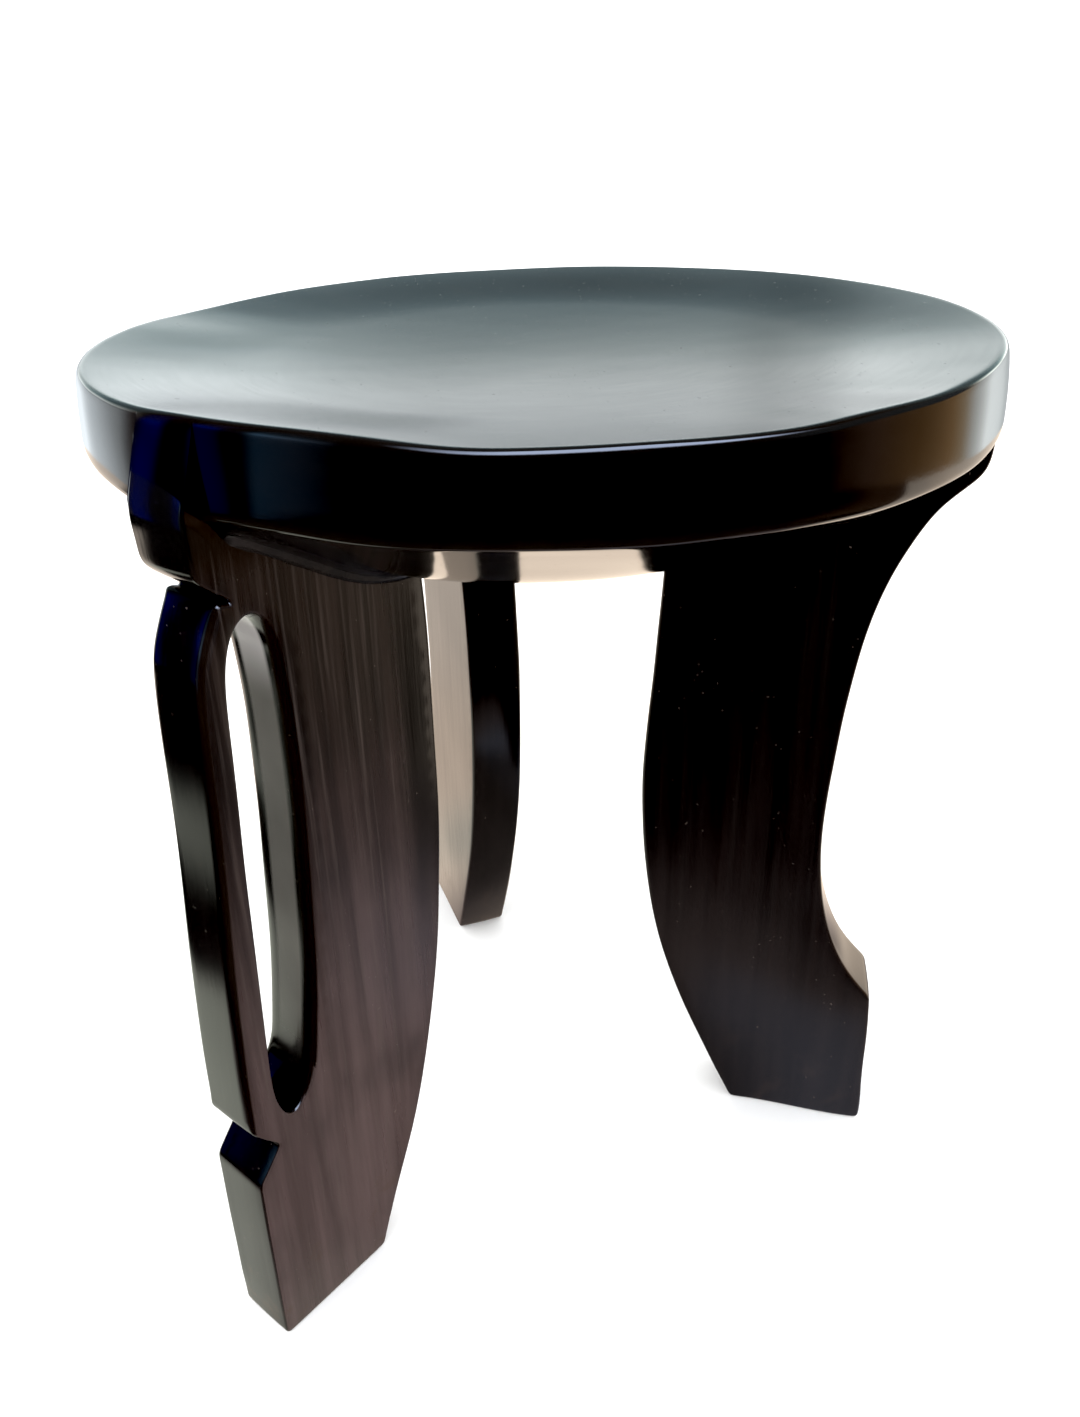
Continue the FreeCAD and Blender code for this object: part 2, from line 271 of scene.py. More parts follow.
def build_seat():
    rho, z, drop, on_top, below, from_top, from_low, crisper = seat_profile()
    close = [HANDLE_AZ + k for k in (-4.75, -4.70, 4.70, 4.75)]
    az = np.sort(np.concatenate([np.arange(720) * 0.5, close]))
    m = len(az)
    view = turned(az)
    top_wave, low_wave = around(TOP_WAVE, view, 2.6) + 0.25, around(LOW_WAVE, view, 1.6)
    w_top = np.where(on_top, smooth01((rho - 112.0) / 62.0), 1.0 - drop)
    w_low = np.where(below, smooth01((rho - 100.0) / 78.0), drop)
    # the lower arris is crisper beside the handle leg, and to its right
    turn = view % 360.0
    keen = smooth01((turn - 218.0) / 8.0) * (1.0 - 0.40 * smooth01((turn - 268.0) / 20.0)) * smooth01((358.0 - turn) / 12.0)
    keen = keen[:, None]
    rr = np.repeat(rho[None, :], m, 0) + keen * crisper[0][None, :]
    w_lean = np.where(on_top, rho / 180.0, np.where(below, 0.0, 1.0 - drop))
    lean = CREST_RISE * np.cos(np.radians(view - CREST_DIR))
    zz = z[None, :] + top_wave[:, None] * w_top + low_wave[:, None] * w_low + lean[:, None] * w_lean + keen * crisper[1][None, :]
    # the wall comes out to run down into the handle leg's head
    d = (az - HANDLE_AZ + 180.0) % 360.0 - 180.0
    side = np.where(np.abs(d) < 4.72, 1.0, 0.0)[:, None]
    step = np.where((np.abs(d) > 4.69) & (np.abs(d) < 4.76), 1 + np.arange(m), 0)[:, None]
    step = step * np.where(on_top | (rho < 150.0), 0, 1)[None, :]
    up = np.where(on_top, 0.0, np.clip((drop - 0.05) / 0.83, 0.0, 1.0) ** 1.1)
    up = np.where(below, smooth01((rho - 150.0) / 30.0), up)
    cut_in = around(LOW_REACH, view, 2.0)
    w_cut = np.where(on_top, 0.0, np.where(below, smooth01((rho - 120.0) / 60.0), drop))
    rr = rr + (HANDLE_FACE - 183.3) * side * up[None, :] + cut_in[:, None] * w_cut[None, :]
    a = np.radians(az)[:, None]
    x, y = rr * np.cos(a), rr * np.sin(a)
    # the underside runs down into the sides of the three planks in a hollow
    for leg_az, r_in in ((HANDLE_AZ, 90.0), (RIGHT_AZ, 57.0), (REAR_AZ, 91.0)):
        t = math.radians(leg_az)
        along, off = x * math.cos(t) + y * math.sin(t), np.abs(y * math.cos(t) - x * math.sin(t))
        gap = np.hypot(np.maximum(off - LEG_T / 2 + 0.2, 0.0), np.maximum(r_in - along, 0.0))
        fade = np.where(below, smooth01((181.5 - rho) / 9.0), 0.0)[None, :]
        zz = zz - 6.0 * np.clip(1.0 - gap / 7.5, 0.0, 1.0) ** 2 * fade
    shift = np.array([[1.37, -1.4]]) @ np.array(Matrix.Rotation(math.radians(VIEW_TURN), 2)).T
    w_shift = np.where(on_top, 1.0, np.where(below, 0.0, 1.0 - drop))
    p = np.stack([x + shift[0, 0] * w_shift, y + shift[0, 1] * w_shift, zz], 2).reshape(-1, 3)
    p = lean_seat(p)
    p[:, 1] += SEAT_AXIS_Y
    n = len(rho)
    index = np.arange(m * n).reshape(m, n)
    nxt = np.roll(index, -1, 0)
    faces = []
    # the first and last stations are on the axis: one vertex each
    first, last = index[0, 0], index[0, -1]
    for j in range(m):
        faces.append((first, index[j, 1], nxt[j, 1]))
        faces.append((last, nxt[j, -2], index[j, -2]))
    quads = np.stack([index[:, 1:-2], index[:, 2:-1], nxt[:, 2:-1], nxt[:, 1:-2]], 3 - 1).reshape(-1, 4)
    faces += [tuple(q) for q in quads.tolist()]
    used = np.unique(np.concatenate([np.ravel(f) for f in (np.array(faces[: 2 * m]).ravel(), quads.ravel())]))
    back = np.full(m * n, -1)
    back[used] = np.arange(len(used))
    faces = [tuple(int(back[i]) for i in f) for f in faces]
    rim = np.repeat(np.where(on_top, smooth01((from_top + 3.0) / 4.0), np.where(below, 1.0 - smooth01((from_low - 2.0) / 10.0), 1.0))[None, :], m, 0)
    edge = np.repeat(np.maximum(np.exp(-((from_top / 2.2) ** 2)), np.exp(-((from_low / 2.6) ** 2)))[None, :], m, 0)
    under = np.repeat(np.where(below, 1.0, 0.0)[None, :], m, 0)
    obj = mesh_object(
        "seat_visual", p[used], faces,
        {"rim": rim.ravel()[used], "edge": edge.ravel()[used], "under": under.ravel()[used]},
        step.ravel()[used],
    )
    q = coords(obj)
    broad, mid = Wander(3, 9, 90, 220), Wander(4, 14, 22, 60)
    wall = rim.ravel()[used]
    still = np.ones(len(q))
    for leg_az in (HANDLE_AZ, RIGHT_AZ, REAR_AZ):
        gap = (np.degrees(np.arctan2(q[:, 1] - SEAT_AXIS_Y, q[:, 0])) - leg_az + 180.0) % 360.0 - 180.0
        still *= np.where(wall > 0.02, smooth01((np.abs(gap) - 5.0) / 6.0), 1.0)
    push(obj, still * (0.07 * broad(q) * (1 - wall) + 0.07 * broad(q) * wall + 0.055 * mid(q) * wall + 0.008 * mid(q) * (1 - wall)))
    walls = {}
    on_wall = np.where((drop > 0.12) & (drop < 0.93))[0]
    for leg_az in (HANDLE_AZ, RIGHT_AZ, REAR_AZ):
        column = p.reshape(m, n, 3)[int(np.argmin(np.abs(az - leg_az)))]
        reach = np.hypot(column[:, 0], column[:, 1] - SEAT_AXIS_Y)
        walls[leg_az] = [(float(reach[i]), float(column[i, 2])) for i in on_wall[::-6]]
    return obj, walls


def under_z(r, azimuth):
    """Height of the seat's underside at a radius in a leg's own plane."""
    u = np.array(UNDER[::-1])
    z = np.interp(r, u[:, 0], u[:, 1])
    return z + math.tan(TILT) * r * math.cos(TILT_DIR - math.radians(azimuth))


# --------------------------------------------------------------------- legs


def chain(parts):
    """Join curve pieces into one loop: points and (arris radius, softness)."""
    pts, vals = [], []
    for curve, arris, soft in parts:
        c = np.asarray(curve, float)
        pts.append(c[:-1])
        vals.append(np.repeat([[arris, soft]], len(c) - 1, 0))
    return np.vstack(pts), np.vstack(vals)


def straight(a, b):
    n = max(2, int(math.dist(a, b)) + 1)
    return np.linspace(a, b, n)


def loop(parts, step=1.2, rounds=5):
    pts, vals = chain(parts)
    p, v = resample(pts, vals, step)
    p = relax(p, 0.5 * np.clip(v[:, 1], 0, 1), rounds)
    arris = relax(v[:, :1], np.full(len(v), 0.5), 24)[:, 0]
    t = np.roll(p, -1, 0) - np.roll(p, 1, 0)
    t /= np.linalg.norm(t, axis=1)[:, None]
    normal = np.stack([t[:, 1], -t[:, 0]], 1)       # away from the wood
    # where the outline turns sharply the arris is kept smaller than the turn
    turn = t[:, 0] * np.roll(t[:, 1], -1) - t[:, 1] * np.roll(t[:, 0], -1)
    gap = np.linalg.norm(np.roll(p, -1, 0) - p, axis=1)
    bend = relax((np.maximum(turn, 0.0) / gap)[:, None], np.full(len(p), 0.5), 3)[:, 0]
    limit = 0.72 / np.maximum(bend, 1e-3)
    arris = np.minimum(arris, limit)
    for _ in range(10):                              # ease back slowly away from a tight turn
        arris = np.minimum(arris, 0.5 * (np.roll(arris, 1) + np.roll(arris, -1)) + 0.12)
    normal = relax(normal, np.full(len(p), 0.5), 2)
    normal /= np.linalg.norm(normal, axis=1)[:, None]
    arris = np.maximum(arris, 0.5)
    return p, normal, arris, arris


def inside(points, ring):
    """Which points lie in a closed ring (even-odd)."""
    x, y = points[:, 0][:, None], points[:, 1][:, None]
    x0, y0 = ring[:, 0][None], ring[:, 1][None]
    x1, y1 = np.roll(ring[:, 0], -1)[None], np.roll(ring[:, 1], -1)[None]
    hit = (y0 > y) != (y1 > y)
    with np.errstate(divide="ignore", invalid="ignore"):
        at = (x1 - x0) * (y - y0) / (y1 - y0) + x0
    return (np.sum(hit & (x < at), 1) % 2) == 1


ARC = 7          # steps round an arris
ACROSS = 8       # steps across an edge face


def build_leg(name, azimuth, loops, seed, crown, wear_and_light, flare=0.0, inner=None):
    """Plank with rounded arrises: edge faces from the loops, flat faces filled between them."""
    half = LEG_T / 2
    verts, faces, edge, flat_rings = [], [], [], []
    total = 0
    for p, normal, a, b in loops:
        n = len(p)
        rings = []
        bow = np.full(n, crown)
        if inner is not None:                        # the handle leg's head is as round as the rim
            bow = bow + 0.33 * smooth01((p[:, 1] - 347.0) / 8.0) * (p[:, 0] > 165.0)
        for k in range(ARC + 1):                     # front flat face to edge face
            f = math.radians(90.0 * (1 - k / ARC))
            rings.append((a * (1 - math.cos(f)), half - b + b * math.sin(f), math.sin(2 * f)))
        for k in range(1, ACROSS):
            rings.append((-bow * (1 - (1 - 2 * k / ACROSS) ** 2), (half - b) * (1 - 2 * k / ACROSS), 0.0))
        for k in range(ARC + 1):
            f = math.radians(90.0 * k / ARC)
            rings.append((a * (1 - math.cos(f)), -(half - b + b * math.sin(f)), math.sin(2 * f)))
        base = total
        for inset, w, e in rings:
            q = p - normal * inset[:, None]
            verts.append(np.stack([q[:, 0], w, q[:, 1]], 1))
            edge.append(np.full(n, e))
            total += n
        i = np.arange(n)
        j = (i + 1) % n
        for k in range(len(rings) - 1):
            s0, s1 = base + k * n, base + (k + 1) * n
            faces += np.stack([s0 + i, s0 + j, s1 + j, s1 + i], 1).tolist()
        last = p - normal * a[:, None]
        flat_rings.append((last, base, base + (len(rings) - 1) * n))
    # flat faces
    outer = flat_rings[0][0]
    low, high = outer.min(0), outer.max(0)
    g = 5.0
    gx, gz = np.meshgrid(np.arange(low[0] + g / 2, high[0], g), np.arange(low[1] + g / 2, high[1], g))
    gx = gx + (np.arange(gx.shape[0])[:, None] % 2) * g / 2
    grid = np.stack([gx.ravel(), gz.ravel()], 1)
    keep = inside(grid, outer)
    for ring, _, _ in flat_rings[1:]:
        keep &= ~inside(grid, ring)
    every = np.vstack([r for r, _, _ in flat_rings])
    d = np.min(np.linalg.norm(grid[:, None, :] - every[None, :, :], axis=2), axis=1)
    grid = grid[keep & (d > 2.2)]
    pool, lines, front, rear = [], [], [], []
    for ring, s_front, s_rear in flat_rings:
        n, s = len(ring), len(front)
        pool += [Vector(v) for v in ring.tolist()]
        lines += [(s + k, s + (k + 1) % n) for k in range(n)]
        front += list(range(s_front, s_front + n))
        rear += list(range(s_rear, s_rear + n))
    pool += [Vector(v) for v in grid.tolist()]
    out, _, tris, origin, _, _ = delaunay_2d_cdt(pool, lines, [], 0, 1e-6)
    where = np.array([[v.x, v.y] for v in out])
    source = [o[0] for o in origin]
    tris = np.array(tris)
    centre = where[tris].mean(1)
    keep = inside(centre, outer)
    for ring, _, _ in flat_rings[1:]:
        keep &= ~inside(centre, ring)
    tris = tris[keep]
    k = len(grid)
    for side, ids in ((half, front), (-half, rear)):
        extra = list(range(total, total + k))
        verts.append(np.stack([grid[:, 0], np.full(k, side), grid[:, 1]], 1))
        edge.append(np.zeros(k))
        total += k
        full = ids + extra
        faces += [[full[source[v]] for v in t] for t in tris.tolist()]
    v = np.vstack(verts)
    e = np.concatenate(edge)
    slot = np.zeros(len(v))
    if len(loops) > 1:
        n0 = sum(len(r) for r in verts[: len(verts) - 2]) - len(loops[1][0]) * (2 * ARC + ACROSS + 1)
        span = slice(n0, n0 + len(loops[1][0]) * (2 * ARC + ACROSS + 1))
        slot[span] = smooth01((180.0 - v[span, 0]) / 6.0) * (np.abs(v[span, 1]) < half - 7.2)
    worn_and_lit = np.full(len(v), wear_and_light)
    if inner is not None:                            # painted shade: the lit brown of the flat face is taken back along the upper inner edge
        curve = np.array(sorted((z, r) for r, z in inner))
        gap = v[:, 0] - np.interp(v[:, 2], curve[:, 0], curve[:, 1])
        worn_and_lit = worn_and_lit * (1.0 - smooth01((25.0 - gap) / 14.0) * smooth01((v[:, 2] - 120.0) / 110.0))
    swell = smooth01((v[:, 0] - 104.0) / 62.0) * smooth01((140.0 - v[:, 2]) / 70.0)
    v[:, 1] -= flare * swell * (half - v[:, 1]) / LEG_T
    # uneven hand-worked planes, none at the sole
    flat_wave, edge_wave = Wander(seed, 10, 60, 190, (1, 1, 0.6)), Wander(seed + 50, 12, 26, 70)
    off = np.where(np.abs(v[:, 1]) > half - 3.5, 0.2, 0.1) * flat_wave(v) + 0.05 * edge_wave(v)
    off *= smooth01(v[:, 2] / 25.0) * (1.0 - smooth01((v[:, 2] - 335.0) / 18.0))
    az = math.radians(azimuth)
    world = np.stack([
        v[:, 0] * math.cos(az) - v[:, 1] * math.sin(az),
        v[:, 0] * math.sin(az) + v[:, 1] * math.cos(az) + SEAT_AXIS_Y,
        v[:, 2],
    ], 1)
    obj = mesh_object(
        name, world, faces,
        {
            "edge": e * (1.0 - smooth01((v[:, 2] - 352.0) / 14.0)),
            "flat": np.where(np.abs(v[:, 1]) > half - 0.6, 1.0, 0.0),
            "wear_and_light": worn_and_lit,
            "slot": slot,
        },
    )
    push(obj, off)
    return obj


def top_run(r_in, azimuth, proud=-0.2):
    """Head of a leg: up the rim's wall, then back out of sight inside the seat."""
    wall = WALLS[azimuth]
    climb = [(r + proud - 1.1 * smooth01((2.0 if proud > 0 else 3.0) * k / len(wall)), z) for k, (r, z) in enumerate(wall)]
    r_out, z_out = climb[-1]
    cut = [climb[-1], (r_out - 5.0, z_out + 0.5), (r_out - 12.0, z_out - 6.0)]
    for r in np.linspace(r_out - 26.0, r_in + 4.0, 7):
        cut.append((r, under_z(r, azimuth) + 9.0))
    cut.append((r_in, under_z(r_in, azimuth) + 6.0))
    return climb, [straight(a, b) for a, b in zip(cut[:-1], cut[1:])]


def plain_leg(name, azimuth, s, head, inner_top, seed, wear_and_light, flare=0.0):
    foot_in, foot_out, toe = (101.8 + s, 0.0), (170.0 + s, 0.0), (167.0 + s, 83.0)
    front = spline([foot_out, (170.3 + s, 10), (169.5 + s, 30), (168.8 + s, 55), toe])
    scoop = [
        toe, (154.2 + s, 98.0), (144.4 + s, 117.5), (138.3 + s, 140.0),
        (135.4 + s, 164.0), (135.0 + s, 187.0), (136.4 + s, 212.0),
    ] + head
    inner = inner_top + [
        (51.8 + s, 248.0), (49.6 + s, 221.0), (48.7 + s, 200.0), (49.2 + s, 178.0),
        (52.0 + s, 147.0), (58.1 + s, 112.0), (68.2 + s, 78.0), (81.9 + s, 43.5), foot_in,
    ]
    climb, tops = top_run(inner[0][0], azimuth)
    parts = [
        (straight(foot_in, foot_out), 1.6, 0.7),
        (front, 1.8, 0.8),
        (spline(scoop + climb[:3]), 1.8, 0.8),
        (np.array(climb[2:]), 1.8, 0.8),
    ]
    parts += [(t, 1.5, 0.5) for t in tops]
    last = tuple(tops[-1][-1])
    parts += [(straight(last, inner[0]), 1.6, 0.5), (spline(inner), 1.8, 0.8)]
    return build_leg(name, azimuth, [loop(parts)], seed, 0.3, wear_and_light, flare)


RIGHT_HEAD = [
    (138.6, 242.0), (141.8, 268.5), (145.6, 289.0), (150.4, 305.5), (157.7, 323.0),
    (167.0, 338.0), (176.0, 347.2), (180.8, 353.0), (182.6, 360.5), (182.9, 368.0),
]
RIGHT_INNER_TOP = [(57.1, 336.0), (56.1, 310.0), (54.2, 280.0)]
REAR_HEAD = [
    (166.6, 241.3), (169.8, 267.0), (173.2, 288.5), (176.4, 305.0), (179.8, 323.0),
    (181.6, 340.0), (182.6, 354.0), (182.9, 366.0),
]
REAR_INNER_TOP = [(91.2, 337.0), (89.4, 310.0), (85.2, 280.0)]


def handle_leg():
    foot_in, foot_out = (144.6, 0.0), (204.4, 0.0)
    foot_top, low_notch, strap_low = (203.9, 94.6), (191.4, 109.2), (202.9, 122.8)
    shoulder, high_notch = (180.4, 345.4), (174.4, 343.4)
    strap = [
        strap_low, (202.6, 142.0), (201.3, 171.0), (199.6, 200.0), (197.4, 228.0),
        (195.5, 254.0), (194.3, 280.0), (193.2, 303.0), (192.0, 316.0), (190.2, 325.0),
        (187.7, 331.4), (184.4, 338.2), shoulder,
    ]
    head = [high_notch, (179.6, 347.9), (184.6, 351.8), (187.6, 355.6), (188.3, 361.0)]
    inner = [
        (89.8, 336.5), (88.9, 322.0), (87.9, 298.0), (87.8, 262.0), (87.7, 236.0),
        (88.6, 209.0), (91.2, 179.0), (95.2, 148.0), (101.9, 117.0), (110.2, 86.0),
        (121.0, 55.0), (133.4, 26.5), foot_in,
    ]
    slot = [
        (169.0, 336.2), (174.4, 334.0), (178.4, 328.6), (181.0, 320.0), (182.3, 309.0),
        (183.1, 293.0), (184.1, 272.0), (185.4, 249.0), (186.4, 225.0), (187.3, 200.0),
        (188.3, 178.0), (189.2, 158.0), (189.6, 141.0), (188.0, 128.4), (182.8, 120.6),
        (176.4, 125.2), (168.8, 146.0), (164.4, 177.0), (162.0, 208.0), (160.0, 238.0),
        (158.8, 266.0), (158.6, 294.0), (159.8, 315.0), (163.0, 330.0),
    ]
    climb, tops = top_run(inner[0][0], HANDLE_AZ, 0.25)
    parts = [
        (straight(foot_in, foot_out), 1.6, 0.7),
        (spline([foot_out, (204.3, 36.0), foot_top]), 2.0, 0.8),
        (straight(foot_top, low_notch), 1.4, 0.6),
        (straight(low_notch, strap_low), 1.4, 0.6),
        (spline(strap), 3.7, 0.8),
        (straight(shoulder, high_notch), 2.4, 0.7),
        (spline(head + climb[:3]), 1.7, 0.8),
        (np.array(climb[2:]), 0.7, 0.8),
    ]
    parts += [(t, 1.5, 0.5) for t in tops]
    last = tuple(tops[-1][-1])
    parts += [(straight(last, inner[0]), 1.8, 0.5), (spline(inner), 2.2, 0.8)]
    ring = closed_spline(slot)                       # runs clockwise, wood on its left
    p, normal, _, _ = loop([(np.vstack([ring, ring[:1]]), 2.0, 0.5)])
    side = np.clip((178.0 - p[:, 0]) / 8.0, 0.0, 1.0)
    every = np.full(len(side), 0.5)
    inset = relax((1.6 + 1.6 * side)[:, None], every, 20)[:, 0]
    across = relax((1.8 + 5.0 * side)[:, None], every, 20)[:, 0]
    return build_leg("handle_leg_visual", HANDLE_AZ, [loop(parts), (p, normal, inset, across)], 21, 0.2, 1.0, 0.0, inner)


seat, WALLS = build_seat()
handle = handle_leg()
# the number after each seed here (0.06, 0.3) is the leg's wear, which also paints light: the right leg's flat faces
# near black as in shade, the rear leg's between, and the handle leg (1.0) with lit brown faces
right = plain_leg("right_leg_visual", RIGHT_AZ, 0.0, RIGHT_HEAD, RIGHT_INNER_TOP, 31, 0.06, 5.0)
rear = plain_leg("rear_leg_visual", REAR_AZ, 29.0, REAR_HEAD, REAR_INNER_TOP, 41, 0.3)

# ---------------------------------------------------------------- materials


class Graph:
    """Short calls for building a node tree."""

    def __init__(self, tree):
        self.tree = tree
        tree.nodes.clear()

    def node(self, kind, **settings):
        n = self.tree.nodes.new(kind)
        for k, v in settings.items():
            setattr(n, k, v)
        return n

    def put(self, socket, value):
        if isinstance(value, bpy.types.NodeSocket):
            self.tree.links.new(value, socket)
        else:
            socket.default_value = value

    def math(self, op, a, b=0.0, c=0.0, clamp=False):
        n = self.node("ShaderNodeMath", operation=op, use_clamp=clamp)
        for s, v in zip(n.inputs, (a, b, c)):
            self.put(s, v)
        return n.outputs[0]

    def span(self, value, a, b, low=0.0, high=1.0, smooth=True):
        n = self.node("ShaderNodeMapRange", interpolation_type="SMOOTHSTEP" if smooth else "LINEAR", clamp=True)
        for key, v in (("Value", value), ("From Min", a), ("From Max", b), ("To Min", low), ("To Max", high)):
            self.put(n.inputs[key], v)
        return n.outputs[0]

    def vmul(self, vector, by):
        n = self.node("ShaderNodeVectorMath", operation="MULTIPLY")
        self.put(n.inputs[0], vector)
        n.inputs[1].default_value = by
        return n.outputs[0]

    def noise(self, vector, scale, detail=3.0, rough=0.5, distortion=0.0):
        n = self.node("ShaderNodeTexNoise", noise_dimensions="3D")
        self.put(n.inputs["Vector"], vector)
        n.inputs["Scale"].default_value = scale
        n.inputs["Detail"].default_value = detail
        n.inputs["Roughness"].default_value = rough
        n.inputs["Distortion"].default_value = distortion
        return n.outputs["Fac"]

    def mix(self, factor, a, b, blend="MIX"):
        n = self.node("ShaderNodeMix", data_type="RGBA", blend_type=blend)
        self.put(n.inputs["Factor"], factor)
        self.put(n.inputs[6], a if isinstance(a, bpy.types.NodeSocket) else (*a, 1.0))
        self.put(n.inputs[7], b if isinstance(b, bpy.types.NodeSocket) else (*b, 1.0))
        return n.outputs[2]

    def attribute(self, name):
        return self.node("ShaderNodeAttribute", attribute_name=name).outputs["Fac"]

    def bump(self, height, distance, strength=1.0, normal=None):
        n = self.node("ShaderNodeBump")
        n.inputs["Strength"].default_value = strength
        n.inputs["Distance"].default_value = distance
        self.put(n.inputs["Height"], height)
        if normal is not None:
            self.put(n.inputs["Normal"], normal)
        return n.outputs[0]


def new_material(name):
    m = bpy.data.materials.new(name)
    m.use_nodes = True
    return m, Graph(m.node_tree)


def finish_surface(g, colour, rough, normal, specular=0.5, coat=0.0, coat_rough=0.1):
    b = g.node("ShaderNodeBsdfPrincipled")
    g.put(b.inputs["Base Color"], colour)
    g.put(b.inputs["Roughness"], rough)
    g.put(b.inputs["Normal"], normal)
    b.inputs["IOR"].default_value = 1.5
    b.inputs["Specular IOR Level"].default_value = specular
    b.inputs["Coat Weight"].default_value = coat
    b.inputs["Coat Roughness"].default_value = coat_rough
    o = g.node("ShaderNodeOutputMaterial")
    g.put(o.inputs["Surface"], b.outputs[0])


def seat_material():
    m, g = new_material("seat_wood")
    p = g.node("ShaderNodeTexCoord").outputs["Object"]
    s = g.node("ShaderNodeSeparateXYZ")
    g.put(s.inputs[0], p)
    x, y, z = s.outputs
    y = g.math("SUBTRACT", y, SEAT_AXIS_Y * 0.001)
    reach = g.math("SQRT", g.math("ADD", g.math("MULTIPLY", x, x), g.math("MULTIPLY", y, y)))
    angle = g.math("ARCTAN2", y, x)
    rim, edge, under = g.attribute("rim"), g.attribute("edge"), g.attribute("under")

    grain = g.noise(g.vmul(p, (14.0, 150.0, 150.0)), 1.0, 4.0, 0.6, 0.4)
    cloud = g.noise(p, 16.0, 3.0, 0.55)
    fine = g.noise(g.vmul(p, (60.0, 900.0, 900.0)), 1.0, 2.0, 0.5)
    turn = g.node("ShaderNodeCombineXYZ")
    g.put(turn.inputs[0], g.math("MULTIPLY", reach, 620.0))
    g.put(turn.inputs[1], g.math("MULTIPLY", angle, 4.2))
    g.put(turn.inputs[2], g.math("MULTIPLY", z, 60.0))
    rubbed = g.noise(turn.outputs[0], 1.0, 3.0, 0.6, 0.2)
    speck = g.math("MULTIPLY", g.span(g.noise(p, 620.0, 1.0, 0.5), 0.75, 0.79), g.span(rim, 0.3, 0.0))

    colour = g.mix(g.span(grain, 0.35, 0.75), (0.0018, 0.0018, 0.0018), (0.0056, 0.0046, 0.0038))
    colour = g.mix(g.math("MULTIPLY", g.span(cloud, 0.45, 0.75), 0.5), colour, (0.0042, 0.0052, 0.0050))
    colour = g.mix(g.math("MULTIPLY", rim, 0.75), colour, (0.0012, 0.0011, 0.0011))
    # brown along the arrises: rubbed wear, and a painted highlight line along the lower arris
    colour = g.mix(g.math("MULTIPLY", edge, 0.14), colour, (0.020, 0.013, 0.009))
    colour = g.mix(g.math("MULTIPLY", speck, 0.35), colour, (0.13, 0.11, 0.09))

    rough = g.span(rim, 0.0, 1.0, 0.21, 0.085, smooth=False)
    rough = g.math("ADD", rough, g.math("MULTIPLY", g.math("SUBTRACT", cloud, 0.5), 0.05))
    rough = g.math("ADD", rough, g.math("MULTIPLY", g.math("SUBTRACT", rubbed, 0.5), 0.035))
    rough = g.math("SUBTRACT", rough, g.math("MULTIPLY", g.math("MULTIPLY", under, g.math("SUBTRACT", 1.0, rim)), 0.11))
    rough = g.math("ADD", rough, g.math("MULTIPLY", speck, 0.15), clamp=True)

    n = g.bump(rubbed, 0.00002, 0.3)
    n = g.bump(fine, 0.00002, 0.4, n)
    n = g.bump(speck, 0.00006, 0.5, n)
    finish_surface(g, colour, rough, n)
    return m


